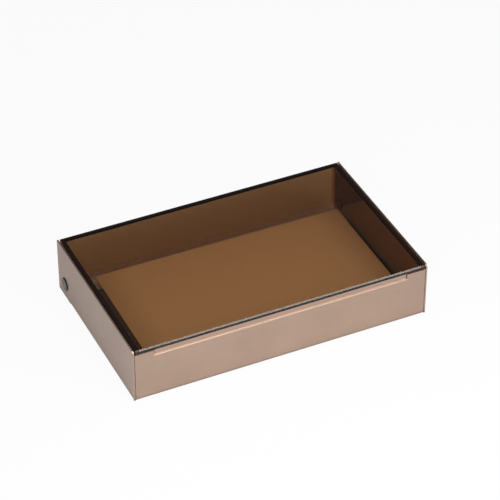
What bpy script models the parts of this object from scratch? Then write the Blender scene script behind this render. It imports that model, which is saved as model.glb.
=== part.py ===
"""Business card box: a folded sheet-metal tray, closed by a tinted acrylic lid that turns on two pins.

The box stands on the XY plane with its origin under the middle of its footprint. The front is at -Y.
"""

import math

import bmesh
import bpy
from mathutils import Matrix, Vector

MM = 0.001

# The card that the box is made for, and how much larger the tray is.
CARD_WIDTH = 85.0 * MM
CARD_DEPTH = 55.0 * MM
CARD_THICKNESS = 0.35 * MM
TRAY_EXTRA_WIDTH = 13.0 * MM
TRAY_EXTRA_DEPTH = 5.2 * MM

# Tray, folded from one sheet: a floor, a front wall and two side walls, with no rear wall.
SIDE_HEIGHT = 18.8 * MM
SHEET = 0.5 * MM
BEND_RADIUS = 0.8 * MM
SEAM_GAP = 0.2 * MM
FRONT_CORNER_RADIUS = 0.8 * MM
REAR_CORNER_RADIUS = 0.4 * MM

# Long nail recess, pressed into the upper edge of the front wall.
RECESS_END_MARGIN = 6.9 * MM
RECESS_HEIGHT = 1.75 * MM
RECESS_DEPTH = 0.45 * MM

# Lid: a top plate with two side walls and a rear wall that gets thicker towards its foot. Its lip lies
# over the front wall.
LID_TOP = 1.3 * MM
LID_WALL = 1.2 * MM
LID_REAR_FOOT = 1.85 * MM
LIP_CHAMFER = 0.3 * MM
LID_SIDE_GAP = 0.4 * MM
LID_FRONT_GAP = 0.3 * MM
LID_REAR_INSET = 0.35 * MM
LID_FOOT_GAP = 0.8 * MM
LIP_SEAT_GAP = 0.3 * MM

# Pivot pins, riveted through the tray's side walls and the lid's side walls.
PIN_HEIGHT = 5.0 * MM
PIN_RADIUS = 1.3 * MM
PIN_HEAD_RADIUS = 2.2 * MM
PIN_HEAD_EDGE = 0.25 * MM
PIN_HEAD_CROWN = 0.12 * MM
PIN_TAIL_RADIUS = 1.9 * MM
PIN_TAIL_THICKNESS = 0.35 * MM
PIN_SEAT_GAP = 0.1 * MM
RUNNING_GAP = 0.08 * MM
TABLE_CLEARANCE = 0.05 * MM
SWEEP_CLEARANCE = 0.4 * MM

# Liner on the floor, and one card lying on it.
LINER_THICKNESS = 1.2 * MM
LINER_EDGE_GAP = 0.35 * MM
LINER_CORNER_RADIUS = 0.8 * MM
LAY_GAP = 0.3 * MM
CARD_SIDE_GAP = 0.2 * MM
CARD_FRONT_GAP = 0.2 * MM
CARD_TURN = math.radians(-0.5)

# Construction values.
CUT_OVERRUN = 1.0 * MM
BEND_STEPS = 6
TURN_STEPS = 12
ROUND_SIDES = 48
EDGE_STEPS = 4

# Places worked out from the sizes above.
HALF_WIDTH = (CARD_WIDTH + TRAY_EXTRA_WIDTH) / 2
REAR = (CARD_DEPTH + TRAY_EXTRA_DEPTH) / 2
FRONT = -REAR
WALL_INSIDE = HALF_WIDTH - SHEET
LIP_UNDERSIDE = SIDE_HEIGHT - LID_TOP
FRONT_WALL_TOP = LIP_UNDERSIDE - LIP_SEAT_GAP
RECESS_HALF = HALF_WIDTH - RECESS_END_MARGIN
RECESS_LEDGE = FRONT_WALL_TOP - RECESS_HEIGHT
LINER_BOTTOM = SHEET + LAY_GAP
LINER_TOP = LINER_BOTTOM + LINER_THICKNESS
CARD_BOTTOM = LINER_TOP + LAY_GAP
LID_BOTTOM = SHEET + LID_FOOT_GAP
LID_HALF = WALL_INSIDE - LID_SIDE_GAP
LID_INSIDE = LID_HALF - LID_WALL
LID_TURN_RADIUS = PIN_HEIGHT - TABLE_CLEARANCE
LID_REAR = REAR - LID_REAR_INSET
LID_WALL_FRONT = FRONT + SHEET + LID_FRONT_GAP
PIN_Y = LID_REAR - LID_TURN_RADIUS
FOOT_DROP = PIN_HEIGHT - LID_BOTTOM
FLOOR_END = PIN_Y - FOOT_DROP - SWEEP_CLEARANCE

ALUMINIUM_COLOUR = (0.46, 0.32, 0.25, 1.0)
ACRYLIC_COLOUR = (0.30, 0.17, 0.08, 1.0)
STEEL_COLOUR = (0.30, 0.29, 0.27, 1.0)
LINER_COLOUR = (0.03, 0.02, 0.015, 1.0)
CARD_COLOUR = (0.85, 0.84, 0.80, 1.0)


def clear_scene():
    """Remove the objects that the scene starts with."""
    for obj in list(bpy.data.objects):
        bpy.data.objects.remove(obj)


def finish(name, colour, roughness, metallic, transmission=0.0):
    """Make a Principled material."""
    material = bpy.data.materials.new(name)
    material.use_nodes = True
    shader = material.node_tree.nodes["Principled BSDF"]
    shader.inputs["Base Color"].default_value = colour
    shader.inputs["Roughness"].default_value = roughness
    shader.inputs["Metallic"].default_value = metallic
    shader.inputs["Transmission Weight"].default_value = transmission
    return material


def add_object(name, bm, material=None):
    """Turn a bmesh into a linked object with outward faces."""
    bmesh.ops.recalc_face_normals(bm, faces=bm.faces)
    mesh = bpy.data.meshes.new(name)
    bm.to_mesh(mesh)
    bm.free()
    obj = bpy.data.objects.new(name, mesh)
    bpy.context.scene.collection.objects.link(obj)
    if material:
        mesh.materials.append(material)
    return obj


def arc(centre, radius, start, end, steps):
    """Points of an arc in a plane, from one angle to another."""
    points = []
    for step in range(steps + 1):
        angle = start + (end - start) * step / steps
        points.append((centre[0] + radius * math.cos(angle), centre[1] + radius * math.sin(angle)))
    return points


def prism_along_x(name, outline, start, end, material=None):
    """Extrude a (y, z) outline along X."""
    bm = bmesh.new()
    face = bm.faces.new([bm.verts.new((start, y, z)) for y, z in outline])
    moved = bmesh.ops.extrude_face_region(bm, geom=[face])["geom"]
    verts = [item for item in moved if isinstance(item, bmesh.types.BMVert)]
    bmesh.ops.translate(bm, verts=verts, vec=(end - start, 0, 0))
    return add_object(name, bm, material)


def prism_along_y(name, outline, start, end, material=None):
    """Extrude an (x, z) outline along Y."""
    bm = bmesh.new()
    face = bm.faces.new([bm.verts.new((x, start, z)) for x, z in outline])
    moved = bmesh.ops.extrude_face_region(bm, geom=[face])["geom"]
    verts = [item for item in moved if isinstance(item, bmesh.types.BMVert)]
    bmesh.ops.translate(bm, verts=verts, vec=(0, end - start, 0))
    return add_object(name, bm, material)


def block(name, x_range, y_range, z_range, material=None):
    """Make a box from its ranges."""
    (y0, y1), (z0, z1) = y_range, z_range
    outline = [(y0, z0), (y1, z0), (y1, z1), (y0, z1)]
    return prism_along_x(name, outline, x_range[0], x_range[1], material)


def rod_along_x(name, radius, half_length, y, z):
    """Make a round rod along X, centred over x = 0."""
    bm = bmesh.new()
    bmesh.ops.create_cone(
        bm, cap_ends=True, segments=ROUND_SIDES, radius1=radius, radius2=radius, depth=2 * half_length
    )
    bmesh.ops.rotate(bm, verts=bm.verts, matrix=Matrix.Rotation(math.pi / 2, 3, "Y"))
    bmesh.ops.translate(bm, verts=bm.verts, vec=(0, y, z))
    return add_object(name, bm)


def as_tool(obj):
    """Keep a cutter or a joined shape out of the picture."""
    obj.hide_render = True
    obj.display_type = "WIRE"
    return obj


def combine(target, tool, operation):
    """Add a Boolean that joins a tool to the target or cuts it away."""
    modifier = target.modifiers.new(tool.name, "BOOLEAN")
    modifier.operation = operation
    modifier.solver = "EXACT"
    modifier.object = as_tool(tool)


def shade_round(obj, angle=math.radians(30)):
    """Shade curved stretches smooth and keep the corners sharp."""
    obj.data.shade_smooth()
    obj.data.set_sharp_from_angle(angle=angle)


def set_origin(obj, place):
    """Move an object's origin without moving its shape."""
    obj.data.transform(Matrix.Translation(-place))
    obj.location = place


def channel_outline():
    """Section of the floor and both side walls, in (x, z), with bent lower corners."""
    bend_x = HALF_WIDTH - BEND_RADIUS
    inner_radius = BEND_RADIUS - SHEET
    right_outer = arc((bend_x, BEND_RADIUS), BEND_RADIUS, -math.pi / 2, 0, BEND_STEPS)
    right_inner = arc((bend_x, BEND_RADIUS), inner_radius, 0, -math.pi / 2, BEND_STEPS)
    right = right_outer + [(HALF_WIDTH, SIDE_HEIGHT), (WALL_INSIDE, SIDE_HEIGHT)] + right_inner
    left = [(-x, z) for x, z in reversed(right)]
    return right + left


def front_wall_outline():
    """Section of the front wall and the strip of floor that it is bent from, in (y, z)."""
    bend_y = FRONT + BEND_RADIUS
    strip_end = bend_y + BEND_RADIUS
    inner_radius = BEND_RADIUS - SHEET
    outer = arc((bend_y, BEND_RADIUS), BEND_RADIUS, -math.pi / 2, -math.pi, BEND_STEPS)
    inner = arc((bend_y, BEND_RADIUS), inner_radius, -math.pi, -math.pi / 2, BEND_STEPS)
    top = [(FRONT, FRONT_WALL_TOP), (FRONT + SHEET, FRONT_WALL_TOP)]
    return [(strip_end, 0)] + outer + top + inner + [(strip_end, SHEET)]


def corner_cutter(name, y_edge, inward, radius):
    """Shape between a square upper corner of the side walls and its rounding."""
    centre = (y_edge + inward * radius, SIDE_HEIGHT - radius)
    start = math.pi / 2
    end = math.pi if inward > 0 else 0
    outside_y = y_edge - inward * CUT_OVERRUN
    outside_z = SIDE_HEIGHT + CUT_OVERRUN
    round_part = arc(centre, radius, start, end, EDGE_STEPS)
    outline = round_part + [(outside_y, centre[1]), (outside_y, outside_z), (centre[0], outside_z)]
    reach = HALF_WIDTH + CUT_OVERRUN
    return prism_along_x(name, outline, -reach, reach)


def build_tray(material):
    """Fold the tray: channel, front wall, nail recess, rear opening, rounded corners and pin holes."""
    tray = prism_along_y("tray", channel_outline(), FRONT, REAR, material)
    above_bend = 2 * BEND_RADIUS

    between_walls = (-WALL_INSIDE, WALL_INSIDE)
    front_strip = (FRONT - CUT_OVERRUN, FRONT + BEND_RADIUS)
    combine(tray, block("front_clearance", between_walls, front_strip, (-CUT_OVERRUN, above_bend)), "DIFFERENCE")
    rear_strip = (FLOOR_END, REAR + CUT_OVERRUN)
    combine(tray, block("rear_clearance", between_walls, rear_strip, (-CUT_OVERRUN, above_bend)), "DIFFERENCE")

    front_half = WALL_INSIDE - SEAM_GAP
    combine(tray, prism_along_x("front_wall", front_wall_outline(), -front_half, front_half), "UNION")

    strip_y = (FRONT + SHEET / 2, FRONT + RECESS_DEPTH + SHEET)
    strip_z = (RECESS_LEDGE - SHEET, FRONT_WALL_TOP)
    strip_half = RECESS_HALF + SHEET
    combine(tray, block("recess_backing", (-strip_half, strip_half), strip_y, strip_z), "UNION")
    recess_y = (FRONT - CUT_OVERRUN, FRONT + RECESS_DEPTH)
    recess_z = (RECESS_LEDGE, FRONT_WALL_TOP + CUT_OVERRUN)
    combine(tray, block("nail_recess", (-RECESS_HALF, RECESS_HALF), recess_y, recess_z), "DIFFERENCE")

    combine(tray, corner_cutter("front_corners", FRONT, 1, FRONT_CORNER_RADIUS), "DIFFERENCE")
    combine(tray, corner_cutter("rear_corners", REAR, -1, REAR_CORNER_RADIUS), "DIFFERENCE")
    hole_radius = PIN_RADIUS + RUNNING_GAP
    reach = HALF_WIDTH + CUT_OVERRUN
    combine(tray, rod_along_x("tray_pin_holes", hole_radius, reach, PIN_Y, PIN_HEIGHT), "DIFFERENCE")
    shade_round(tray)
    return tray


def lid_outline():
    """Side view of the lid in (y, z). Its lower rear edge is round about the pin."""
    foot_angle = math.asin(FOOT_DROP / LID_TURN_RADIUS)
    rear_round = arc((PIN_Y, PIN_HEIGHT), LID_TURN_RADIUS, 0, -foot_angle, TURN_STEPS)
    chamfer = [(FRONT, SIDE_HEIGHT - LIP_CHAMFER), (FRONT + LIP_CHAMFER, SIDE_HEIGHT)]
    top = chamfer + [(LID_REAR, SIDE_HEIGHT)]
    foot = [(LID_WALL_FRONT, LID_BOTTOM), (LID_WALL_FRONT, LIP_UNDERSIDE), (FRONT, LIP_UNDERSIDE)]
    return top + rear_round + foot


def hollow_outline():
    """Section of the room under the lid in (y, z). Its rear side leans forward towards the foot."""
    top_y = LID_REAR - LID_WALL
    foot_y = LID_REAR - LID_REAR_FOOT
    lean = (top_y - foot_y) / (LIP_UNDERSIDE - LID_BOTTOM)
    low_z = LID_BOTTOM - CUT_OVERRUN
    low_y = foot_y - CUT_OVERRUN * lean
    before = FRONT - CUT_OVERRUN
    return [(before, low_z), (low_y, low_z), (top_y, LIP_UNDERSIDE), (before, LIP_UNDERSIDE)]


def build_lid(material):
    """Make the lid, hollow it from the front and below, and bore it for the pins."""
    hinge = bpy.data.objects.new("lid_hinge", None)
    bpy.context.scene.collection.objects.link(hinge)
    hinge.location = (0, PIN_Y, PIN_HEIGHT)

    lid = prism_along_x("lid", lid_outline(), -LID_HALF, LID_HALF, material)
    combine(lid, prism_along_x("lid_hollow", hollow_outline(), -LID_INSIDE, LID_INSIDE), "DIFFERENCE")
    bore_radius = PIN_RADIUS + RUNNING_GAP
    reach = HALF_WIDTH + CUT_OVERRUN
    combine(lid, rod_along_x("lid_bores", bore_radius, reach, PIN_Y, PIN_HEIGHT), "DIFFERENCE")
    shade_round(lid)
    set_origin(lid, Vector(hinge.location))
    lid.location = (0, 0, 0)
    lid.parent = hinge
    return lid


def pin_profile():
    """Half section of a pin in (x, radius). x = 0 is the outer face of the tray's side wall."""
    head_inner = PIN_SEAT_GAP
    head_shoulder = head_inner + PIN_HEAD_EDGE
    head_outer = head_shoulder + PIN_HEAD_CROWN
    tail_outer = -(SHEET + LID_SIDE_GAP + LID_WALL + PIN_SEAT_GAP)
    tail_inner = tail_outer - PIN_TAIL_THICKNESS
    tail_corner = PIN_TAIL_THICKNESS / 2
    crown_run = PIN_HEAD_RADIUS - PIN_HEAD_EDGE
    rounded = arc(
        (head_shoulder - PIN_HEAD_EDGE, PIN_HEAD_RADIUS - PIN_HEAD_EDGE),
        PIN_HEAD_EDGE,
        math.pi / 2,
        0,
        EDGE_STEPS,
    )
    crown = []
    for step in range(1, EDGE_STEPS + 1):
        share = step / EDGE_STEPS
        crown.append((head_shoulder + (head_outer - head_shoulder) * (1 - (1 - share) ** 2), crown_run * (1 - share)))
    tail = [
        (tail_inner, 0),
        (tail_inner, PIN_TAIL_RADIUS - tail_corner),
        (tail_inner + tail_corner, PIN_TAIL_RADIUS),
        (tail_outer, PIN_TAIL_RADIUS),
        (tail_outer, PIN_RADIUS),
        (head_inner, PIN_RADIUS),
    ]
    return tail + rounded + crown


def build_pins(material):
    """Turn one pin and place it on both sides, its head outside."""
    bm = bmesh.new()
    verts = [bm.verts.new((x, radius, 0)) for x, radius in pin_profile()]
    edges = [bm.edges.new(pair) for pair in zip(verts, verts[1:])]
    bmesh.ops.spin(
        bm, geom=verts + edges, cent=(0, 0, 0), axis=(1, 0, 0), angle=2 * math.pi, steps=ROUND_SIDES
    )
    bmesh.ops.remove_doubles(bm, verts=bm.verts, dist=RUNNING_GAP / ROUND_SIDES)
    right = add_object("pivot_pin_right", bm, material)
    right.location = (HALF_WIDTH, PIN_Y, PIN_HEIGHT)
    shade_round(right)
    left = bpy.data.objects.new("pivot_pin_left", right.data)
    bpy.context.scene.collection.objects.link(left)
    left.location = (-HALF_WIDTH, PIN_Y, PIN_HEIGHT)
    left.rotation_euler = (0, 0, math.pi)


def rounded_rectangle(half_x, y_range, radius):
    """Outline of a rectangle with round corners, in (x, y)."""
    y0, y1 = y_range
    corners = [
        ((half_x - radius, y1 - radius), 0),
        ((-half_x + radius, y1 - radius), math.pi / 2),
        ((-half_x + radius, y0 + radius), math.pi),
        ((half_x - radius, y0 + radius), 3 * math.pi / 2),
    ]
    points = []
    for centre, start in corners:
        points += arc(centre, radius, start, start + math.pi / 2, EDGE_STEPS)
    return points


def build_liner(material):
    """Lay the liner on the floor, as long as the floor is and between the lid's side walls."""
    half_x = LID_INSIDE - LINER_EDGE_GAP
    y_range = (FRONT + SHEET + LINER_EDGE_GAP, FLOOR_END)
    bm = bmesh.new()
    outline = rounded_rectangle(half_x, y_range, LINER_CORNER_RADIUS)
    face = bm.faces.new([bm.verts.new((x, y, LINER_BOTTOM)) for x, y in outline])
    moved = bmesh.ops.extrude_face_region(bm, geom=[face])["geom"]
    verts = [item for item in moved if isinstance(item, bmesh.types.BMVert)]
    bmesh.ops.translate(bm, verts=verts, vec=(0, 0, LINER_THICKNESS))
    return add_object("liner", bm, material)


def build_card(material):
    """Lay one bare card on the liner, against the right side and turned a little."""
    card = block(
        "blank_card",
        (-CARD_WIDTH / 2, CARD_WIDTH / 2),
        (-CARD_DEPTH / 2, CARD_DEPTH / 2),
        (0, CARD_THICKNESS),
        material,
    )
    slant = abs(math.sin(CARD_TURN))
    reach_x = (CARD_WIDTH * math.cos(CARD_TURN) + CARD_DEPTH * slant) / 2
    reach_y = (CARD_DEPTH * math.cos(CARD_TURN) + CARD_WIDTH * slant) / 2
    x = LID_INSIDE - CARD_SIDE_GAP - reach_x
    y = FRONT + SHEET + CARD_FRONT_GAP + reach_y
    card.location = (x, y, CARD_BOTTOM)
    card.rotation_euler = (0, 0, CARD_TURN)
    return card


def main():
    """Build every piece of the box."""
    clear_scene()
    aluminium = finish("anodised_aluminium", ALUMINIUM_COLOUR, 0.35, 1.0)
    acrylic = finish("tinted_acrylic", ACRYLIC_COLOUR, 0.03, 0.0, transmission=1.0)
    steel = finish("dark_steel", STEEL_COLOUR, 0.3, 1.0)
    felt = finish("dark_liner", LINER_COLOUR, 0.9, 0.0)
    paper = finish("white_card", CARD_COLOUR, 0.6, 0.0)
    build_tray(aluminium)
    build_liner(felt)
    build_card(paper)
    build_pins(steel)
    build_lid(acrylic)


main()
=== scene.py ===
"""Business card box, dressed for a studio picture.

A folded sheet-metal tray holds a felt liner and one bare card. A tinted acrylic lid turns on two pins at
the rear. Lengths are in metres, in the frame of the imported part: the front is at -Y, and +Z points up.
"""

import logging
import math
from collections.abc import Callable, Iterator
from contextlib import contextmanager
from dataclasses import dataclass
from enum import Enum
from typing import Any

import bmesh
import bpy
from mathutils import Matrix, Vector

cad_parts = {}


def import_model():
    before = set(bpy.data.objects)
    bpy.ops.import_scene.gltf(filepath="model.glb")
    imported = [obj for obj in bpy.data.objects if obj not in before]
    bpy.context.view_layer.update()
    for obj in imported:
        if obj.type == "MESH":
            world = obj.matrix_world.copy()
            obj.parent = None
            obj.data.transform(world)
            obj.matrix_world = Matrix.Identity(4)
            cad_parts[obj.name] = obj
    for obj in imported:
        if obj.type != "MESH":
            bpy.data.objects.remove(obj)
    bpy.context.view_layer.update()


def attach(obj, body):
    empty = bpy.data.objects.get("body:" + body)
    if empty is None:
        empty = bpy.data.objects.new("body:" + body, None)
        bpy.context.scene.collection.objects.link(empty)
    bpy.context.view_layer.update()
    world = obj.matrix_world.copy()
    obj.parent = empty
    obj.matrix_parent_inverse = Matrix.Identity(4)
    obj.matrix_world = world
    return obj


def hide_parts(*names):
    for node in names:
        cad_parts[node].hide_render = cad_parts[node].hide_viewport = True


MM = 0.001
NEAR = 0.01 * MM  # lengths closer than this count as the same
WELD = 0.001 * MM  # corners closer than this are merged
OVERRUN = 1.0 * MM
BORE_SIDES = 48
FLAT_ANGLE = math.radians(0.5)
SHARP_ANGLE = math.radians(35)
SMOOTH_ANGLE = math.radians(40)
AREA_WEIGHT = 100

log = logging.getLogger("card_box")

Span = tuple[float, float]
Triple = tuple[float, float, float]
Point = Vector | Triple
Test = Callable[[Vector], bool]
Socket = bpy.types.NodeSocket

RISING: Span = (0.0, 1.0)
FALLING: Span = (1.0, 0.0)
MID_NOISE: Span = (0.3, 0.7)


class Body(Enum):
    """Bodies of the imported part."""

    TRAY = "tray"
    LID = "lid"


class Slot(Enum):
    """Material slots of the record."""

    ALUMINIUM = "anodised_aluminium"
    ACRYLIC = "tinted_acrylic"
    STEEL = "pin_steel"
    FELT = "liner_felt"
    PAPER = "card_paper"


class Side(Enum):
    """Sides of the box, as the sign of X."""

    LEFT = -1
    RIGHT = 1


class Pick(Enum):
    """What a selection in edit mode holds."""

    FACE = "FACE"
    EDGE = "EDGE"
    VERT = "VERT"


def near(value: float, target: float) -> bool:
    """Say whether two lengths are the same for the purposes of a selection."""
    return abs(value - target) < NEAR


class Workpiece:
    """A mesh object that is shaped in edit mode, its faces and edges picked by place."""

    def __init__(self, name: str) -> None:
        """Take the object that an operator has just added.

        Args:
            name: name that the piece gets.
        """
        self.obj = bpy.context.active_object
        self.obj.name = name
        self.obj.data.name = name

    @classmethod
    def plate(cls, name: str, x: Span, y: Span, z: float) -> "Workpiece":
        """Start from a flat rectangle.

        Args:
            name: name of the piece.
            x: range along X.
            y: range along Y.
            z: height.

        Returns:
            The new workpiece.
        """
        clear_selection()
        middle = ((x[0] + x[1]) / 2, (y[0] + y[1]) / 2, z)
        bpy.ops.mesh.primitive_plane_add(size=1, location=middle)
        piece = cls(name)
        piece.obj.scale = (x[1] - x[0], y[1] - y[0], 1)
        piece.settle()
        return piece

    @classmethod
    def block(cls, name: str, low: Triple, high: Triple) -> "Workpiece":
        """Start from a box.

        Args:
            name: name of the piece.
            low: lowest corner.
            high: highest corner.

        Returns:
            The new workpiece.
        """
        clear_selection()
        bpy.ops.mesh.primitive_cube_add(size=1, location=(Vector(high) + Vector(low)) / 2)
        piece = cls(name)
        piece.obj.scale = Vector(high) - Vector(low)
        piece.settle()
        return piece

    @classmethod
    def rod(cls, name: str, radius: float, x: Span, y: float, z: float, sides: int) -> "Workpiece":
        """Start from a round rod along X.

        Args:
            name: name of the piece.
            radius: radius of the rod.
            x: range along X.
            y: place of the axis along Y.
            z: height of the axis.
            sides: number of flat sides.

        Returns:
            The new workpiece.
        """
        clear_selection()
        bpy.ops.mesh.primitive_cylinder_add(
            vertices=sides,
            radius=radius,
            depth=x[1] - x[0],
            location=((x[0] + x[1]) / 2, y, z),
            rotation=(0, math.pi / 2, 0),
        )
        piece = cls(name)
        piece.settle()
        return piece

    def settle(self) -> None:
        """Put the object's place, turn and scale into its mesh."""
        bpy.ops.object.transform_apply(location=True, rotation=True, scale=True)

    def make_active(self) -> None:
        """Select this object alone."""
        clear_selection()
        self.obj.select_set(True)
        bpy.context.view_layer.objects.active = self.obj

    @contextmanager
    def edit(self) -> Iterator[None]:
        """Keep the object in edit mode for a stretch of work.

        Returns:
            A context that goes back to object mode at its end.
        """
        self.make_active()
        bpy.ops.object.mode_set(mode="EDIT")
        try:
            yield
        finally:
            bpy.ops.object.mode_set(mode="OBJECT")

    def pick(self, kind: Pick, test: Test) -> None:
        """Select only the parts whose middle a test accepts.

        Args:
            kind: faces, edges or corners.
            test: takes the middle of a part and accepts it or not.
        """
        bpy.ops.mesh.select_mode(type=kind.value)
        bpy.ops.mesh.select_all(action="DESELECT")
        mesh = bmesh.from_edit_mesh(self.obj.data)
        parts = {Pick.FACE: mesh.faces, Pick.EDGE: mesh.edges, Pick.VERT: mesh.verts}[kind]
        for part in parts:
            corners = [part.co] if kind is Pick.VERT else [v.co for v in part.verts]
            if test(sum(corners, Vector()) / len(corners)):
                part.select_set(True)
        bmesh.update_edit_mesh(self.obj.data)

    def extrude(self, move: Triple) -> None:
        """Extrude what is selected and move the new part."""
        bpy.ops.mesh.extrude_region_move(TRANSFORM_OT_translate={"value": move})

    def ease(self, test: Test, width: float, steps: int) -> None:
        """Round the edges whose middle a test accepts."""
        self.pick(Pick.EDGE, test)
        bpy.ops.mesh.bevel(offset=width, segments=steps, affect="EDGES")

    def weld(self) -> None:
        """Merge doubled corners and turn every face outwards."""
        bpy.ops.mesh.select_all(action="SELECT")
        bpy.ops.mesh.remove_doubles(threshold=WELD)
        bpy.ops.mesh.normals_make_consistent(inside=False)

    def cut(self, place: Point, normal: Point, drop_outer: bool = False) -> None:
        """Bisect the whole mesh by a plane.

        Args:
            place: a point of the plane.
            normal: normal of the plane.
            drop_outer: whether the side that the normal points to goes, and the cut is closed.
        """
        bpy.ops.mesh.select_all(action="SELECT")
        bpy.ops.mesh.bisect(
            plane_co=place, plane_no=normal, use_fill=drop_outer, clear_outer=drop_outer, threshold=WELD
        )

    def modify(self, kind: str, **settings: Any) -> None:
        """Add a modifier and apply it.

        Args:
            kind: type of the modifier.
            settings: values of the modifier's properties.
        """
        self.make_active()
        modifier = self.obj.modifiers.new(kind.lower(), kind)
        for name, value in settings.items():
            setattr(modifier, name, value)
        bpy.ops.object.modifier_apply(modifier=modifier.name)

    def carve(self, tool: "Workpiece") -> None:
        """Cut another workpiece's shape away and throw that workpiece away."""
        self.modify("BOOLEAN", operation="DIFFERENCE", solver="EXACT", object=tool.obj)
        bpy.data.objects.remove(tool.obj)

    def bore(self, radius: float, half_width: float, y: float, z: float) -> None:
        """Drill a hole along X through both sides of the piece, with its axis at y and z."""
        reach = half_width + OVERRUN
        self.carve(Workpiece.rod("drill", radius, (-reach, reach), y, z, BORE_SIDES))

    def mirrored(self, name: str) -> "Workpiece":
        """Copy the piece to the other side of the box.

        Args:
            name: name of the copy.

        Returns:
            The copy, with a mesh of its own.
        """
        twin = self.obj.copy()
        twin.data = self.obj.data.copy()
        bpy.context.scene.collection.objects.link(twin)
        bpy.context.view_layer.objects.active = twin
        copy = Workpiece(name)
        with copy.edit():
            bpy.ops.mesh.select_all(action="SELECT")
            bpy.ops.transform.resize(value=(-1, 1, 1), center_override=(0, 0, 0))
            bpy.ops.mesh.normals_make_consistent(inside=False)
        return copy

    def break_edges(self, width: float, steps: int) -> None:
        """Round all sharp edges a little."""
        self.modify("BEVEL", width=width, segments=steps, limit_method="ANGLE", angle_limit=SHARP_ANGLE)

    def shade(self) -> None:
        """Shade curved stretches smooth, with the flats true and the corners sharp."""
        self.make_active()
        bpy.ops.object.shade_smooth_by_angle(angle=SMOOTH_ANGLE)
        self.modify("WEIGHTED_NORMAL", mode="FACE_AREA", weight=AREA_WEIGHT, keep_sharp=True)

    def hand_over(self, body: Body, slot: Slot, material: bpy.types.Material, *nodes: str) -> None:
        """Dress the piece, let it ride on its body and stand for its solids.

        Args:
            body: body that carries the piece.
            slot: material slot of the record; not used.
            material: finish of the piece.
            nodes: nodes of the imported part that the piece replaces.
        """
        self.obj.data.materials.clear()
        self.obj.data.materials.append(material)
        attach(self.obj, body.value)
        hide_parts(*nodes)
        self.obj.data.calc_loop_triangles()
        count = len(self.obj.data.loop_triangles)
        log.info("%s: %d triangles, rides on %s", self.obj.name, count, body.value)


def clear_selection() -> None:
    """Leave every object unselected."""
    bpy.ops.object.select_all(action="DESELECT")


class NodeBoard:
    """The nodes of one material, with short calls for what the finishes share."""

    def __init__(self, name: str) -> None:
        """Make a material with one Principled shader.

        Args:
            name: name of the material.
        """
        self.material = bpy.data.materials.new(name)
        self.material.use_nodes = True
        self.tree = self.material.node_tree
        self.shader = self.tree.nodes["Principled BSDF"]
        self.output = self.tree.nodes["Material Output"]
        self.place = self.add("ShaderNodeTexCoord").outputs["Object"]

    def add(self, kind: str, inputs: dict[str | int, Any] | None = None, **settings: Any) -> bpy.types.Node:
        """Add a node.

        Args:
            kind: type of the node.
            inputs: a value or a socket for each input that is set.
            settings: values of the node's own properties.

        Returns:
            The new node.
        """
        node = self.tree.nodes.new(kind)
        for name, value in settings.items():
            setattr(node, name, value)
        for name, value in (inputs or {}).items():
            if isinstance(value, Socket):
                self.tree.links.new(value, node.inputs[name])
            else:
                node.inputs[name].default_value = value
        return node

    def set(self, **values: Any) -> None:
        """Set the shader's plain sockets, named with _ for a space."""
        for name, value in values.items():
            self.shader.inputs[name.replace("_", " ")].default_value = value

    def feed(self, name: str, socket: Socket) -> None:
        """Link a socket to one of the shader's inputs."""
        self.tree.links.new(socket, self.shader.inputs[name])

    def stretched(self, scale: Triple, turn: Triple) -> Socket:
        """Scale and turn the object's coordinates."""
        inputs = {"Vector": self.place, "Scale": scale, "Rotation": turn}
        return self.add("ShaderNodeMapping", inputs).outputs["Vector"]

    def noise(
        self,
        size: float,
        detail: float = 2.0,
        roughness: float = 0.5,
        place: Socket | None = None,
        distortion: float = 0.0,
    ) -> Socket:
        """Add a noise pattern.

        Args:
            size: length of one spot.
            detail: number of finer layers.
            roughness: how much the finer layers count.
            place: coordinates, where they aren't the object's own.
            distortion: how much the pattern swirls.

        Returns:
            The pattern, from 0 to 1.
        """
        inputs = {
            "Vector": place or self.place,
            "Scale": 1 / size,
            "Detail": detail,
            "Roughness": roughness,
            "Distortion": distortion,
        }
        return self.add("ShaderNodeTexNoise", inputs).outputs["Fac"]

    def spread(self, value: Socket, source: Span, target: Span) -> Socket:
        """Map one range to another, held inside it.

        Args:
            value: what is mapped.
            source: range of the value.
            target: range of the result.

        Returns:
            The mapped value.
        """
        names = ("Value", "From Min", "From Max", "To Min", "To Max")
        inputs = dict(zip(names, (value, *source, *target)))
        return self.add("ShaderNodeMapRange", inputs).outputs["Result"]

    def maths(self, operation: str, first: Any, second: Any) -> Socket:
        """Combine two values by an operation of the Math node."""
        return self.add("ShaderNodeMath", {0: first, 1: second}, operation=operation).outputs[0]

    def blend(self, share: Any, first: Any, second: Any) -> Socket:
        """Mix two colours.

        Args:
            share: how much of the second colour shows.
            first: first colour.
            second: second colour.

        Returns:
            The mixed colour.
        """
        node = self.add("ShaderNodeMix", data_type="RGBA")
        for name, value in (("Factor_Float", share), ("A_Color", first), ("B_Color", second)):
            socket = next(s for s in node.inputs if s.identifier == name)
            if isinstance(value, Socket):
                self.tree.links.new(value, socket)
            else:
                socket.default_value = value
        return next(s for s in node.outputs if s.identifier == "Result_Color")

    def axis(self, index: int) -> Socket:
        """One of the object's coordinates, 0 for X to 2 for Z."""
        return self.add("ShaderNodeSeparateXYZ", {"Vector": self.place}).outputs[index]

    def apart(self, value: Socket, centre: float = 0.0) -> Socket:
        """Give the distance between a value and a centre."""
        return self.maths("ABSOLUTE", self.maths("SUBTRACT", value, centre), 0.0)

    def bump(self, height: Socket, distance: float) -> Socket:
        """Turn a pattern from 0 to 1 into the normal of a relief as high as the distance."""
        inputs = {"Height": height, "Distance": distance, "Strength": 1.0}
        return self.add("ShaderNodeBump", inputs).outputs["Normal"]


def colour(red: float, green: float, blue: float) -> tuple[float, float, float, float]:
    """Give a linear colour its alpha."""
    return (red, green, blue, 1.0)


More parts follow.
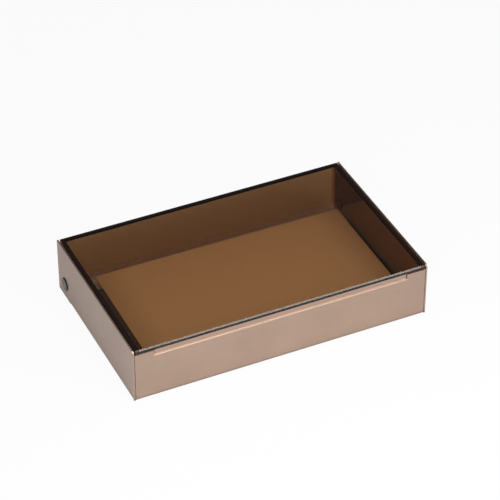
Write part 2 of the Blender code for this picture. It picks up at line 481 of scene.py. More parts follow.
@dataclass
class SheetTray:
    """The tray: a floor, a front wall and two side walls, folded from one sheet."""

    half_width: float = 49.0 * MM
    front: float = -30.1 * MM
    rear: float = -front
    floor_end: float = 20.7 * MM
    side_top: float = 18.8 * MM
    front_top: float = 17.2 * MM
    sheet: float = 0.5 * MM
    seam: float = 0.12 * MM
    front_half: float = half_width - sheet - seam
    bend: float = 0.6 * MM
    bend_steps: int = 8
    free_foot: float = 0.06 * MM
    recess_half: float = 42.1 * MM
    recess_depth: float = 0.45 * MM
    ledge: float = 15.45 * MM
    press_outside: float = 0.22 * MM
    press_inside: float = 0.12 * MM
    press_steps: int = 3
    front_corner: float = 0.8 * MM
    rear_corner: float = 0.4 * MM
    corner_steps: int = 6
    pin_y: float = 24.8 * MM
    pin_z: float = 5.0 * MM
    hole_radius: float = 1.38 * MM
    edge_break: float = 0.06 * MM
    edge_steps: int = 2

    def dress(self) -> None:
        """Build the tray and give it its finish."""
        self.build().hand_over(Body.TRAY, Slot.ALUMINIUM, AnodisedAluminium().make(), "tray")

    def build(self) -> Workpiece:
        """Fold, press, thicken, drill and finish the sheet.

        Returns:
            The finished tray.
        """
        start = self.front + self.bend
        flat = self.half_width - self.bend
        tray = Workpiece.plate("sheet_tray", (-flat, flat), (start, self.floor_end), 0.0)
        with tray.edit():
            self.fold_sides(tray, flat, start)
            self.fold_front(tray, flat, start)
            self.press_recess(tray)
            self.round_corners(tray)
            self.face_outwards(tray)
        inwards = {"offset": -1.0, "use_even_offset": True, "use_quality_normals": True}
        tray.modify("SOLIDIFY", thickness=self.sheet, **inwards)
        tray.bore(self.hole_radius, self.half_width, self.pin_y, self.pin_z)
        with tray.edit():
            for y, width in (
                (self.front, self.press_outside),
                (self.front + self.recess_depth, self.press_inside),
            ):
                tray.ease(lambda p: self.on_recess_rim(p, y), width, self.press_steps)
        tray.break_edges(self.edge_break, self.edge_steps)
        tray.shade()
        return tray

    def fold_sides(self, tray: Workpiece, flat: float, start: float) -> None:
        """Bend both side walls up and let them run on past the floor.

        Args:
            tray: the sheet.
            flat: half width of the flat floor.
            start: place along Y where the front bend starts.
        """
        for side in Side:
            tray.pick(Pick.EDGE, lambda p: near(p.x, side.value * flat))
            bpy.ops.mesh.spin(
                steps=self.bend_steps,
                angle=math.pi / 2,
                center=(side.value * flat, 0, self.bend),
                axis=(0, side.value, 0),
            )
            tray.extrude((0, 0, self.side_top - self.bend))
        for end, move in ((start, -self.bend), (self.floor_end, self.rear - self.floor_end)):
            tray.pick(Pick.EDGE, lambda p: self.on_side_wall(p) and near(p.y, end))
            tray.extrude((0, move, 0))
        tray.pick(Pick.EDGE, lambda p: self.is_free_foot(p, start))
        tray.extrude((0, 0, self.free_foot - self.bend))

    def on_side_wall(self, p: Vector) -> bool:
        """Say whether a point is on a side wall's outside, above the bend."""
        return near(abs(p.x), self.half_width) and p.z > self.bend + NEAR

    def is_free_foot(self, p: Vector, start: float) -> bool:
        """Say whether a point is on the lower edge of a side wall, before or behind the floor."""
        past_floor = p.y < start - NEAR or p.y > self.floor_end + NEAR
        return past_floor and near(p.z, self.bend) and near(abs(p.x), self.half_width)

    def on_front(self, p: Vector) -> bool:
        """Say whether a point is on the front wall's outside."""
        return near(p.y, self.front) and abs(p.x) < self.front_half - NEAR

    def on_recess_rim(self, p: Vector, y: float) -> bool:
        """Say whether a point is on the recess's outline, at one depth."""
        below = near(p.z, self.ledge) and abs(p.x) < self.recess_half
        return near(p.y, y) and (below or (near(abs(p.x), self.recess_half) and p.z > self.ledge))

    def fold_front(self, tray: Workpiece, flat: float, start: float) -> None:
        """Bend the front wall up between the side walls.

        Args:
            tray: the sheet.
            flat: half width of the flat floor.
            start: place along Y where the front bend starts.
        """
        tray.pick(Pick.EDGE, lambda p: near(p.y, start) and near(p.z, 0) and near(p.x, 0))
        bpy.ops.mesh.spin(
            steps=self.bend_steps, angle=math.pi / 2, center=(0, start, self.bend), axis=(1, 0, 0)
        )
        tray.extrude((0, 0, self.front_top - self.bend))
        for side in Side:
            tray.pick(Pick.VERT, lambda p: near(p.y, self.front) and near(p.x, side.value * flat))
            bpy.ops.transform.translate(value=(side.value * (self.front_half - flat), 0, 0))

    def press_recess(self, tray: Workpiece) -> None:
        """Press the long nail recess into the upper edge of the front wall.

        Args:
            tray: the sheet.
        """
        for place, normal in (
            ((0, 0, self.ledge), (0, 0, 1)),
            ((-self.recess_half, 0, 0), (1, 0, 0)),
            ((self.recess_half, 0, 0), (1, 0, 0)),
        ):
            tray.pick(Pick.FACE, self.on_front)
            bpy.ops.mesh.bisect(plane_co=place, plane_no=normal, threshold=WELD)
        tray.pick(
            Pick.FACE, lambda p: self.on_front(p) and p.z > self.ledge and abs(p.x) < self.recess_half
        )
        tray.extrude((0, self.recess_depth, 0))
        tray.pick(Pick.FACE, lambda p: near(p.z, self.front_top))
        bpy.ops.mesh.delete(type="FACE")

    def round_corners(self, tray: Workpiece) -> None:
        """Join flat stretches and round the upper corners of the side walls.

        Args:
            tray: the sheet.
        """
        bpy.ops.mesh.select_all(action="SELECT")
        bpy.ops.mesh.dissolve_limited(angle_limit=FLAT_ANGLE)
        for place, radius in ((self.front, self.front_corner), (self.rear, self.rear_corner)):
            tray.pick(Pick.VERT, lambda p: near(p.y, place) and near(p.z, self.side_top))
            bpy.ops.mesh.bevel(affect="VERTICES", offset=radius, segments=self.corner_steps)

    def face_outwards(self, tray: Workpiece) -> None:
        """Turn the faces so that the sheet gets thicker inwards.

        Args:
            tray: the sheet.
        """
        tray.weld()
        mesh = bmesh.from_edit_mesh(tray.obj.data)
        floor = max(mesh.faces, key=lambda face: abs(face.normal.z) * face.calc_area())
        if floor.normal.z > 0:
            bpy.ops.mesh.flip_normals()


@dataclass
class AcrylicLid:
    """The lid: a top plate with a front lip, two side walls and a rear wall with a round foot."""

    half_width: float = 48.1 * MM
    front: float = SheetTray.front
    rear: float = 29.75 * MM
    top: float = SheetTray.side_top
    plate: float = 1.3 * MM
    wall: float = 1.2 * MM
    wall_front: float = -29.3 * MM
    foot: float = 1.3 * MM
    foot_wall: float = 1.85 * MM
    foot_steps: int = 12
    pin_y: float = SheetTray.pin_y
    pin_z: float = SheetTray.pin_z
    bore_radius: float = SheetTray.hole_radius
    turn_radius: float = rear - pin_y
    front_chamfer: float = 0.42 * MM
    chamfer_tilt: float = math.radians(40.3)
    edge_break: float = 0.07 * MM
    edge_steps: int = 3

    def dress(self) -> None:
        """Build the lid and give it its finish."""
        self.build().hand_over(Body.LID, Slot.ACRYLIC, TintedAcrylic().make(), "lid")

    def build(self) -> Workpiece:
        """Draw the walls down from the plate, round the foot, bore and polish.

        Returns:
            The finished lid.
        """
        under = self.top - self.plate
        low, high = (-self.half_width, self.front, under), (self.half_width, self.rear, self.top)
        lid = Workpiece.block("acrylic_lid", low, high)
        with lid.edit():
            self.draw_walls(lid, under)
            self.round_foot(lid)
            tilt = self.chamfer_tilt
            place = (0, self.front, self.top - self.front_chamfer)
            lid.cut(place, (0, -math.cos(tilt), math.sin(tilt)), drop_outer=True)
            lid.weld()
            bpy.ops.mesh.dissolve_limited(angle_limit=FLAT_ANGLE)
        lid.bore(self.bore_radius, self.half_width, self.pin_y, self.pin_z)
        lid.break_edges(self.edge_break, self.edge_steps)
        lid.shade()
        return lid

    def draw_walls(self, lid: Workpiece, under: float) -> None:
        """Draw the side walls and the rear wall down and thicken the rear wall's foot.

        Args:
            lid: the plate.
            under: height of the plate's underside.
        """
        inside = self.half_width - self.wall
        rear_inside = self.rear - self.wall
        for place, normal in (
            ((-inside, 0, 0), (1, 0, 0)),
            ((inside, 0, 0), (1, 0, 0)),
            ((0, self.wall_front, 0), (0, 1, 0)),
            ((0, rear_inside, 0), (0, 1, 0)),
        ):
            lid.cut(place, normal)

        def over_wall(p: Vector) -> bool:
            """Say whether a point of the underside is where a wall goes."""
            at_side = abs(p.x) > inside and p.y > self.wall_front
            return near(p.z, under) and (at_side or p.y > rear_inside)

        lid.pick(Pick.FACE, over_wall)
        lid.extrude((0, 0, self.foot - under))
        lid.pick(Pick.VERT, lambda p: near(p.z, self.foot) and near(p.y, rear_inside))
        bpy.ops.transform.translate(value=(0, self.wall - self.foot_wall, 0))

    def round_foot(self, lid: Workpiece) -> None:
        """Take the lower rear edge off in small flats, round about the pins.

        Args:
            lid: the lid.
        """
        last = math.asin((self.pin_z - self.foot) / self.turn_radius)
        for step in range(1, self.foot_steps + 1):
            angle = last * step / self.foot_steps
            out = Vector((0, math.cos(angle), -math.sin(angle)))
            place = Vector((0, self.pin_y, self.pin_z)) + self.turn_radius * out
            lid.cut(place, out, drop_outer=True)


@dataclass
class PivotPins:
    """Two pins, each with a low domed head outside and a riveted tail inside.

    The outline runs from the tail to the head, as distance out from the sheet and radius in millimetres.
    """

    sheet_face: float = SheetTray.half_width
    y: float = SheetTray.pin_y
    z: float = SheetTray.pin_z
    sides: int = 64
    blank: float = 0.01 * MM
    outline: tuple[Span, ...] = (
        (-2.55, 0.7),
        (-2.55, 1.62),
        (-2.50, 1.76),
        (-2.40, 1.86),
        (-2.30, 1.90),
        (-2.20, 1.88),
        (-2.20, 1.30),
        (0.10, 1.30),
        (0.10, 2.12),
        (0.12, 2.18),
        (0.16, 2.20),
        (0.22, 2.19),
        (0.28, 2.14),
        (0.325, 2.06),
        (0.35, 1.96),
        (0.39, 1.60),
        (0.43, 1.10),
        (0.455, 0.60),
        (0.465, 0.20),
    )

    def dress(self) -> None:
        """Build both pins and give them one finish."""
        steel = PinSteel().make()
        for node, pin in self.build().items():
            pin.hand_over(Body.TRAY, Slot.STEEL, steel, node)

    def build(self) -> dict[str, Workpiece]:
        """Turn the left pin and copy it to the right.

        Returns:
            The finished pins, by the node that each one replaces.
        """
        left = self.turn()
        pins = {"pivot_pin_left": left, "pivot_pin_right": left.mirrored("right_pin")}
        for pin in pins.values():
            pin.shade()
        return pins

    def turn(self) -> Workpiece:
        """Draw the left pin out of a thin blank ring by ring and close both ends.

        Returns:
            The pin without its shading.
        """
        first, *rows = ((-self.sheet_face - out * MM, radius * MM) for out, radius in self.outline)
        tail, here = first[0], first[0] - self.blank
        pin = Workpiece.rod("left_pin", first[1], (here, tail), self.y, self.z, self.sides)
        with pin.edit():
            pin.pick(Pick.FACE, lambda p: self.is_end(p, here, tail))
            place, now = here, first[1]
            for target, radius in rows:
                pin.extrude((target - place, 0, 0))
                share = radius / now
                bpy.ops.transform.resize(value=(1, share, share), center_override=(target, self.y, self.z))
                place, now = target, radius
            bpy.ops.mesh.merge(type="CENTER")
            pin.pick(Pick.FACE, lambda p: self.is_end(p, tail, here))
            bpy.ops.mesh.merge(type="CENTER")
            pin.weld()
        return pin

    def is_end(self, p: Vector, end: float, other: float) -> bool:
        """Say whether a point is the middle of the blank's face at one end and not at the other."""
        on_axis = near(p.y, self.y) and near(p.z, self.z)
        return on_axis and abs(p.x - end) < abs(p.x - other) and near(p.x, end)


@dataclass
class FloorLiner:
    """The felt liner on the tray's floor."""

    half_width: float = 46.55 * MM
    front: float = -29.25 * MM
    rear: float = SheetTray.floor_end
    bottom: float = 0.8 * MM
    top: float = 2.0 * MM
    corner: float = 0.8 * MM
    corner_steps: int = 5
    edge_break: float = 0.22 * MM
    edge_steps: int = 3

    def dress(self) -> None:
        """Build the liner and give it its finish."""
        self.build().hand_over(Body.TRAY, Slot.FELT, DarkFelt().make(), "liner")

    def build(self) -> Workpiece:
        """Cut the felt and round its edges.

        Returns:
            The finished liner.
        """
        low, high = (-self.half_width, self.front, self.bottom), (self.half_width, self.rear, self.top)
        liner = Workpiece.block("felt_liner", low, high)
        middle, half = (self.bottom + self.top) / 2, self.half_width
        with liner.edit():
            liner.ease(
                lambda p: near(p.z, middle) and near(abs(p.x), half), self.corner, self.corner_steps
            )
        liner.break_edges(self.edge_break, self.edge_steps)
        liner.shade()
        return liner


@dataclass
class BareCard:
    """One bare business card, turned a little on the liner."""

    width: float = 85.0 * MM
    depth: float = 55.0 * MM
    thickness: float = 0.35 * MM
    centre_x: float = 3.962 * MM
    centre_y: float = -1.530 * MM
    bottom: float = 2.3 * MM
    turn: float = math.radians(-0.5)
    corner: float = 0.12 * MM
    edge_break: float = 0.04 * MM
    steps: int = 2

    def dress(self) -> None:
        """Build the card and give it its finish."""
        self.build().hand_over(Body.TRAY, Slot.PAPER, CardPaper().make(), "blank_card")

    def build(self) -> Workpiece:
        """Cut the card, ease its corners and lay it in place.

        Returns:
            The finished card.
        """
        x, y = self.width / 2, self.depth / 2
        card = Workpiece.block("bare_card", (-x, -y, 0), (x, y, self.thickness))
        with card.edit():
            card.ease(
                lambda p: near(p.z, self.thickness / 2) and near(abs(p.x), x), self.corner, self.steps
            )
        card.break_edges(self.edge_break, self.steps)
        card.obj.location = (self.centre_x, self.centre_y, self.bottom)
        card.obj.rotation_euler = (0, 0, self.turn)
        card.make_active()
        card.settle()
        card.shade()
        return card


@dataclass(frozen=True)
class AnodisedAluminium:
    """Fine, matt anodised sheet with a clear skin over the dyed layer, and painted shade along the bottom
    and at the recess ends.
    """

    base: Triple = (0.500, 0.348, 0.266)
    deep: Triple = (0.452, 0.315, 0.240)
    bare: Triple = (0.60, 0.50, 0.44)
    painted_shade_colour: Triple = (0.15, 0.13, 0.125)
    grain: float = 0.16 * MM
    grain_roughness: float = 0.6
    cloud: float = 9.0 * MM
    layers: float = 3.0
    tone: Span = (0.75, 1.25)
    matt: Span = (0.32, 0.41)
    relief: float = 0.006 * MM
    coat: float = 0.6
    coat_roughness: float = 0.32
    coat_ior: float = 1.55
    top: float = SheetTray.side_top
    rubbed: float = 0.12 * MM
    rubbed_share: float = 0.6
    rub_spot: float = 1.4 * MM
    rub_levels: Span = (0.4, 0.7)
    rub_shares: Span = (0.2, 1.0)
    foot: Span = (0.7 * MM, 1.15 * MM)
    foot_painted_shade: float = 0.38
    front: float = SheetTray.front
    recess_half: float = SheetTray.recess_half
    recess_painted_shade: float = 0.9
    painted_shade_width: Span = (0.1 * MM, 0.4 * MM)
    painted_shade_start: Span = (0.08 * MM, 0.2 * MM)
    painted_shade_end: Span = (0.5 * MM, 0.55 * MM)

    def make(self) -> bpy.types.Material:
        """Build the material.

        Returns:
            The finished material.
        """
        board = NodeBoard("anodised_sheet")
        grain = board.noise(self.grain, detail=self.layers, roughness=self.grain_roughness)
        cloud = board.noise(self.cloud, detail=self.layers)
        tone = board.spread(board.maths("ADD", grain, cloud), self.tone, RISING)
        body = board.blend(tone, colour(*self.deep), colour(*self.base))
        clean = board.blend(self.edge_wear(board), body, colour(*self.bare))
        # Painted shade: the sheet gets darker towards its bottom edge and in the corners at both ends of
        # the nail recess.
        low = board.spread(board.axis(2), self.foot, (self.foot_painted_shade, 0.0))
        painted_shade_share = board.maths("MAXIMUM", low, self.recess_end_shade(board))
        board.feed("Base Color", board.blend(painted_shade_share, clean, colour(*self.painted_shade_colour)))
        board.feed("Roughness", board.spread(grain, MID_NOISE, self.matt))
        board.feed("Normal", board.bump(grain, self.relief))
        board.set(
            Metallic=1.0, Coat_Weight=self.coat, Coat_Roughness=self.coat_roughness, Coat_IOR=self.coat_ior
        )
        return board.material

    def edge_wear(self, board: NodeBoard) -> Socket:
        """Find the upper edges, which hands have rubbed in spots.

        Args:
            board: board of the material.

        Returns:
            The share of bare metal.
        """
        height = board.spread(board.axis(2), (self.top - self.rubbed, self.top), (0.0, self.rubbed_share))
        spots = board.spread(board.noise(self.rub_spot), self.rub_levels, self.rub_shares)
        return board.maths("MULTIPLY", height, spots)

    def recess_end_shade(self, board: NodeBoard) -> Socket:
        """Find the corners at both ends of the nail recess, which get a painted shade.

        Args:
            board: board of the material.

        Returns:
            The share of painted shade.
        """
        from_end = board.apart(board.apart(board.axis(0)), self.recess_half)
        depth = board.maths("SUBTRACT", board.axis(1), self.front)
        beside = board.spread(from_end, self.painted_shade_width, (self.recess_painted_shade, 0.0))
        deep = board.spread(depth, self.painted_shade_start, RISING)
        outside = board.spread(depth, self.painted_shade_end, FALLING)
        return board.maths("MULTIPLY", board.maths("MULTIPLY", beside, deep), outside)


@dataclass(frozen=True)
class TintedAcrylic:
    """Polished see-through brown acrylic that takes more light the further light goes in it.

    Above the walls the plate gets an opaque dark rim, painted shade for the light that the walls swallow.
    The rear upright corners and the rear wall's foot get a darker painted tint, and the chamfer in front a
    pale painted highlight. Light for what lies under the lid goes straight through, tinted on its way.
    """

    taken_per_mm: Triple = (0.390, 0.625, 0.93)
    ior: float = 1.49
    smear: float = 14.0 * MM
    smear_layers: float = 4.0
    smear_swirl: float = 0.6
    smear_levels: Span = (0.4, 0.75)
    gloss: Span = (0.0, 0.03)
    wave: float = 22.0 * MM
    wave_height: float = 0.004 * MM
    # Painted shade: an opaque dark rim above the walls, for the light that the walls swallow.
    plate_rim_shade: Triple = (0.010, 0.0045, 0.003)
    plate_rim_shade_starts: float = 0.02
    # Painted shade: a darker tint in the rear upright corners and on the rear wall's foot.
    corner: Triple = (0.36, 0.13, 0.045)
    corner_width: float = 1.2 * MM
    corner_most: float = 0.8
    # Painted highlight: a pale, partly opaque band on the lip's chamfer.
    painted_highlight: Triple = (0.66, 0.44, 0.31)
    painted_highlight_share: float = 0.2
    inside_x: float = AcrylicLid.half_width - AcrylicLid.wall
    inside_y: float = AcrylicLid.rear - AcrylicLid.wall
    rear_face: float = AcrylicLid.rear - AcrylicLid.foot_wall - 0.1 * MM
    rim_floor: float = AcrylicLid.top - 0.8 * MM
    chamfer_end: float = AcrylicLid.front + 0.38 * MM
    chamfer_floor: float = AcrylicLid.top - 0.48 * MM
    foot: float = AcrylicLid.foot
    foot_top: float = 4.6 * MM
    foot_most: float = 0.75
    soft: float = 0.05 * MM

    def make(self) -> bpy.types.Material:
        """Build the material.

        Returns:
            The finished material.
        """
        board = NodeBoard("brown_acrylic")
        smear = board.noise(self.smear, detail=self.smear_layers, distortion=self.smear_swirl)
        board.feed("Roughness", board.spread(smear, self.smear_levels, self.gloss))
        board.feed("Normal", board.bump(board.noise(self.wave, detail=1.0), self.wave_height))
        rim, corner, painted_highlight = self.rim_share(board), self.corner_share(board), self.chamfer_share(board)
        board.feed("Transmission Weight", board.maths("SUBTRACT", 1.0, board.maths("MAXIMUM", rim, painted_highlight)))
        shade = board.blend(corner, colour(1, 1, 1), colour(*self.corner))
        for share, full, tint in (
            (painted_highlight, self.painted_highlight_share, self.painted_highlight),
            (rim, self.plate_rim_shade_starts, self.plate_rim_shade),
        ):
            shade = board.blend(board.spread(share, (0.0, full), RISING), shade, colour(*tint))
        board.feed("Base Color", shade)
        board.set(IOR=self.ior)
        self.let_light_through(board)
        self.fill(board)
        return board.material

    def let_light_through(self, board: NodeBoard) -> None:
        """Give diffuse and shadow rays a straight way through the surface.

        Args:
            board: board of the material.
        """
        light = board.add("ShaderNodeLightPath")
        clear = board.add("ShaderNodeBsdfTransparent").outputs["BSDF"]
        for ray in ("Is Diffuse Ray", "Is Shadow Ray"):
            front = board.output.inputs["Surface"].links[0].from_socket
            mix = board.add("ShaderNodeMixShader", {0: light.outputs[ray], 1: front, 2: clear})
            board.tree.links.new(mix.outputs["Shader"], board.output.inputs["Surface"])

    def fill(self, board: NodeBoard) -> None:
        """Let the inside absorb light by the length of its way.

        Args:
            board: board of the material.
        """
        most = max(self.taken_per_mm)
        shares = [1 - taken / most for taken in self.taken_per_mm]
        inside = board.add("ShaderNodeVolumeAbsorption", {"Color": colour(*shares), "Density": most / MM})
        board.tree.links.new(inside.outputs["Volume"], board.output.inputs["Volume"])

    def rim_share(self, board: NodeBoard) -> Socket:
        """Find the rim on the plate's upper face, which gets an opaque painted shade.

        Args:
            board: board of the material.

        Returns:
            The share of the rim, from 0 to 1.
        """
        out_x = board.maths("SUBTRACT", board.apart(board.axis(0)), self.inside_x)
        out_y = board.maths("SUBTRACT", board.axis(1), self.inside_y)
        rim = board.spread(board.maths("MAXIMUM", out_x, out_y), (-self.soft, self.soft), RISING)
        upper = board.spread(board.axis(2), (self.rim_floor, self.rim_floor + self.soft), RISING)
        return board.maths("MULTIPLY", rim, upper)

    def corner_share(self, board: NodeBoard) -> Socket:
        """Find the upright corners at the rear and the foot of the rear wall, which get a darker painted
        tint.

        Args:
            board: board of the material.

        Returns:
            The share of painted shade.
        """
        out = board.apart(board.axis(0))
        start = self.inside_x - self.corner_width
        upright = board.spread(out, (start, self.inside_x), (0.0, self.corner_most))
        low = board.spread(board.axis(2), (self.foot, self.foot_top), (self.foot_most, 0.0))
        at_rear = board.spread(board.axis(1), (self.rear_face - self.soft, self.rear_face), RISING)
        under = board.spread(board.axis(2), (self.rim_floor - self.soft, self.rim_floor), FALLING)
        share = board.maths("MULTIPLY", board.maths("MAXIMUM", upright, low), at_rear)
        return board.maths("MULTIPLY", share, under)

    def chamfer_share(self, board: NodeBoard) -> Socket:
        """Find the chamfer along the lip.

        Args:
            board: board of the material.

        Returns:
            The share of the pale painted highlight on the chamfer.
        """
        front = board.spread(board.axis(1), (self.chamfer_end - self.soft, self.chamfer_end), FALLING)
        over = (self.chamfer_floor, self.chamfer_floor + self.soft)
        return board.maths("MULTIPLY", front, board.spread(board.axis(2), over, (0.0, self.painted_highlight_share)))


@dataclass(frozen=True)
class PinSteel:
    """Turned steel with a bright head face, painted shade on the head's rim and the shank, and a riveted
    tail.
    """

    base: Triple = (0.235, 0.232, 0.20)
    riveted: Triple = (0.20, 0.15, 0.16)
    # Painted shade on the head's rim and the shank; the same colour makes the stain spots on the head.
    stain_and_rim_shade: Triple = (0.06, 0.055, 0.05)
    shoulder: float = PivotPins.sheet_face + 0.3 * MM
    tail: float = PivotPins.sheet_face - 2.15 * MM
    soft: float = 0.05 * MM
    spot: float = 0.35 * MM
    spot_layers: float = 3.0
    spot_levels: Span = (0.35, 0.7)
    spot_shares: Span = (0.0, 0.35)
    polish: Span = (0.28, 0.42)
    tail_roughness: float = 0.5
    tool_marks: float = 0.12 * MM
    relief: float = 0.004 * MM

    def make(self) -> bpy.types.Material:
        """Build the material.

        Returns:
            The finished material.
        """
        board = NodeBoard("turned_steel")
        out = board.apart(board.axis(0))
        head = board.spread(out, (self.shoulder - self.soft, self.shoulder + self.soft), RISING)
        tail = board.spread(out, (self.tail - self.soft, self.tail), FALLING)
        spots = board.noise(self.spot, detail=self.spot_layers)
        stained = board.spread(spots, self.spot_levels, self.spot_shares)
        bright = board.blend(stained, colour(*self.base), colour(*self.stain_and_rim_shade))
        # Painted shade: the dark colour covers the head's rim and the shank, short of the tail.
        shade = board.blend(head, colour(*self.stain_and_rim_shade), bright)
        board.feed("Base Color", board.blend(tail, shade, colour(*self.riveted)))
        polish = board.spread(spots, MID_NOISE, self.polish)
        rough = board.maths("MULTIPLY", tail, self.tail_roughness)
        board.feed("Roughness", board.maths("ADD", polish, rough))
        board.feed("Normal", board.bump(board.noise(self.tool_marks), self.relief))
        board.set(Metallic=1.0)
        return board.material


@dataclass(frozen=True)
class DarkFelt:
    """Thin pressed felt with fibres that run both ways."""

    base: Triple = (0.060, 0.058, 0.078)
    fibre: Triple = (0.155, 0.150, 0.200)
    along: Triple = (900, 5200, 5200)
    along_turn: Triple = (0, 0, 0.6)
    across: Triple = (5200, 1100, 5200)
    across_turn: Triple = (0, 0, 0.3)
    layers: float = 3.0
    swirl: float = 1.5
    fibre_levels: Span = (0.5, 0.75)
    relief: float = 0.12 * MM
    roughness: float = 0.95
    sheen: float = 0.25
    sheen_roughness: float = 0.5

    def make(self) -> bpy.types.Material:
        """Build the material.

        Returns:
            The finished material.
        """
        board = NodeBoard("pressed_felt")
        along, across = (
            board.noise(1.0, detail=self.layers, place=board.stretched(scale, turn), distortion=self.swirl)
            for scale, turn in ((self.along, self.along_turn), (self.across, self.across_turn))
        )
        fibres = board.maths("MAXIMUM", along, across)
        share = board.spread(fibres, self.fibre_levels, RISING)
        board.feed("Base Color", board.blend(share, colour(*self.base), colour(*self.fibre)))
        board.feed("Normal", board.bump(fibres, self.relief))
        board.set(Roughness=self.roughness, Sheen_Weight=self.sheen, Sheen_Roughness=self.sheen_roughness)
        return board.material


@dataclass(frozen=True)
class CardPaper:
    """Smooth uncoated card with painted shade towards its short ends, near the side walls."""

    base: Triple = (0.90, 0.885, 0.855)
    shade: Triple = (0.84, 0.82, 0.785)
    end_shade: Triple = (0.70, 0.675, 0.63)
    centre_x: float = BareCard.centre_x
    unshaded_half: float = 33.0 * MM
    half_width: float = BareCard.width / 2
    fibre: float = 0.25 * MM
    fibre_layers: float = 4.0
    fibre_roughness: float = 0.6
    cloud: float = 2.5 * MM
    tone: Span = (0.8, 1.3)
    tone_shares: Span = (0.0, 0.7)
    matt: Span = (0.5, 0.64)
    relief: float = 0.008 * MM

    def make(self) -> bpy.types.Material:
        """Build the material.

        Returns:
            The finished material.
        """
        board = NodeBoard("uncoated_card")
        fibres = board.noise(self.fibre, detail=self.fibre_layers, roughness=self.fibre_roughness)
        mixed = board.maths("ADD", fibres, board.noise(self.cloud))
        tone = board.spread(mixed, self.tone, self.tone_shares)
        paper = board.blend(tone, colour(*self.base), colour(*self.shade))
        # Painted shade: the card gets darker towards its short ends.
        out = board.apart(board.axis(0), self.centre_x)
        end_shade_share = board.spread(out, (self.unshaded_half, self.half_width), RISING)
        board.feed("Base Color", board.blend(end_shade_share, paper, colour(*self.end_shade)))
        board.feed("Roughness", board.spread(fibres, MID_NOISE, self.matt))
        board.feed("Normal", board.bump(fibres, self.relief))
        return board.material


@dataclass
class PhotoCamera:
    """The camera, at the view that the box's own corners give."""

    place: Triple = (-244.40 * MM, -525.07 * MM, 465.77 * MM)
    forward: Triple = (0.337793, 0.716560, -0.610277)
    lens: float = 171.05
    sensor: float = 36.0
    nearest: float = 10.0 * MM

    def build(self) -> None:
        """Add the camera and make it the scene's own."""
        data = bpy.data.cameras.new("photo_camera")
        data.lens = self.lens
        data.sensor_width = self.sensor
        data.clip_start = self.nearest
        camera = bpy.data.objects.new("photo_camera", data)
        camera.location = self.place
        camera.rotation_euler = Vector(self.forward).to_track_quat("-Z", "Y").to_euler()
        bpy.context.scene.collection.objects.link(camera)
        bpy.context.scene.camera = camera


@dataclass(frozen=True)
class SoftLamp:
    """An area lamp that looks at the box."""

    name: str
    place: Triple
    size: Span
    level: float

    def build(self) -> None:
        """Hang the lamp. The level is the brightness of its face."""
        data = bpy.data.lights.new(self.name, "AREA")
        data.shape = "RECTANGLE"
        data.size, data.size_y = self.size
        data.energy = self.level * math.pi * data.size * data.size_y
        place = Vector(self.place)
        lamp = bpy.data.objects.new(self.name, data)
        lamp.location = place
        lamp.rotation_euler = (-place).to_track_quat("-Z", "Y").to_euler()
        bpy.context.scene.collection.objects.link(lamp)


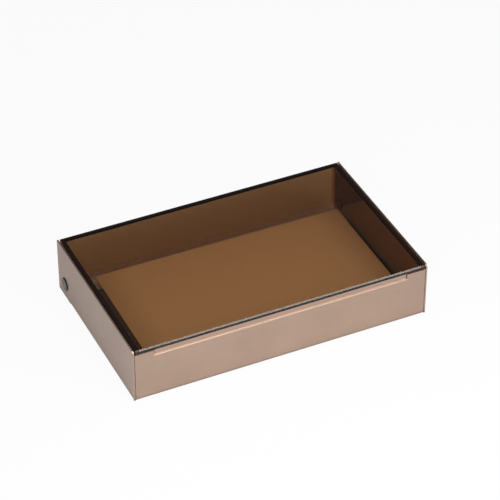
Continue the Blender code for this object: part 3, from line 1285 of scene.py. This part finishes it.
@dataclass(frozen=True)
class PalePaper:
    """The floor's paper: near white to the camera, dimmer in metal and glass, and it keeps the shadow."""

    base: Triple = (0.62, 0.62, 0.62)
    mottled: float = 0.99
    mottle: float = 3.0 * MM
    roughness: float = 0.9
    gloss: float = 0.1
    white: float = 0.94
    in_metal: float = 0.2
    in_glass: float = 0.05

    def make(self) -> bpy.types.Material:
        """Build the material.

        Returns:
            The finished material.
        """
        board = NodeBoard("pale_paper")
        darker = (self.mottled * level for level in self.base)
        board.feed("Base Color", board.blend(board.noise(self.mottle), colour(*self.base), colour(*darker)))
        board.set(Roughness=self.roughness, Specular_IOR_Level=self.gloss)
        light = board.add("ShaderNodeLightPath")
        glass = light.outputs["Is Transmission Ray"]
        metal = board.maths("SUBTRACT", light.outputs["Is Glossy Ray"], glass)
        share = board.maths("MULTIPLY", light.outputs["Is Camera Ray"], self.white)
        for ray, level in ((metal, self.in_metal), (glass, self.in_glass)):
            share = board.maths("MAXIMUM", share, board.maths("MULTIPLY", ray, level))
        white = board.add("ShaderNodeEmission", {"Color": colour(1, 1, 1), "Strength": 1.0})
        sockets = {0: share, 1: board.shader.outputs["BSDF"], 2: white.outputs["Emission"]}
        mix = board.add("ShaderNodeMixShader", sockets)
        board.tree.links.new(mix.outputs["Shader"], board.output.inputs["Surface"])
        return board.material


@dataclass
class Studio:
    """A plain pale floor, a long soft lamp in front, a smaller one above and a dim surround."""

    floor_half: float = 3.0
    floor_drop: float = 0.03 * MM
    lamps: tuple[SoftLamp, ...] = (
        SoftLamp("front_lamp", (0.0, -0.15, 0.115), (0.46, 0.15), 3.25),
        SoftLamp("top_lamp", (0.0, 0.0, 0.5), (0.2, 0.2), 7.25),
    )
    sky: float = 0.12

    def build(self) -> None:
        """Set up the floor, the lamps and the world."""
        self.lay_floor()
        for lamp in self.lamps:
            lamp.build()
        self.set_world()

    def lay_floor(self) -> None:
        """Lay the floor just under the box."""
        across = (-self.floor_half, self.floor_half)
        floor = Workpiece.plate("studio_floor", across, across, -self.floor_drop)
        floor.obj.data.materials.append(PalePaper().make())

    def set_world(self) -> None:
        """Set the surround: white for the camera and dim for everything else."""
        world = bpy.data.worlds.new("surround")
        world.use_nodes = True
        tree = world.node_tree
        tree.nodes.clear()
        light = tree.nodes.new("ShaderNodeLightPath")
        level = tree.nodes.new("ShaderNodeMath")
        level.operation = "MAXIMUM"
        level.inputs[1].default_value = self.sky
        tree.links.new(light.outputs["Is Camera Ray"], level.inputs[0])
        back = tree.nodes.new("ShaderNodeBackground")
        tree.links.new(level.outputs[0], back.inputs["Strength"])
        out = tree.nodes.new("ShaderNodeOutputWorld")
        tree.links.new(back.outputs["Background"], out.inputs["Surface"])
        bpy.context.scene.world = world


def main() -> None:
    """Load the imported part, set the stage and dress every piece."""
    logging.basicConfig(level=logging.INFO, format="%(name)s: %(message)s")
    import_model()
    bpy.context.scene.view_settings.view_transform = "Standard"
    PhotoCamera().build()
    Studio().build()
    for pieces in (SheetTray(), FloorLiner(), BareCard(), PivotPins(), AcrylicLid()):
        pieces.dress()


if __name__ == "__main__":
    main()
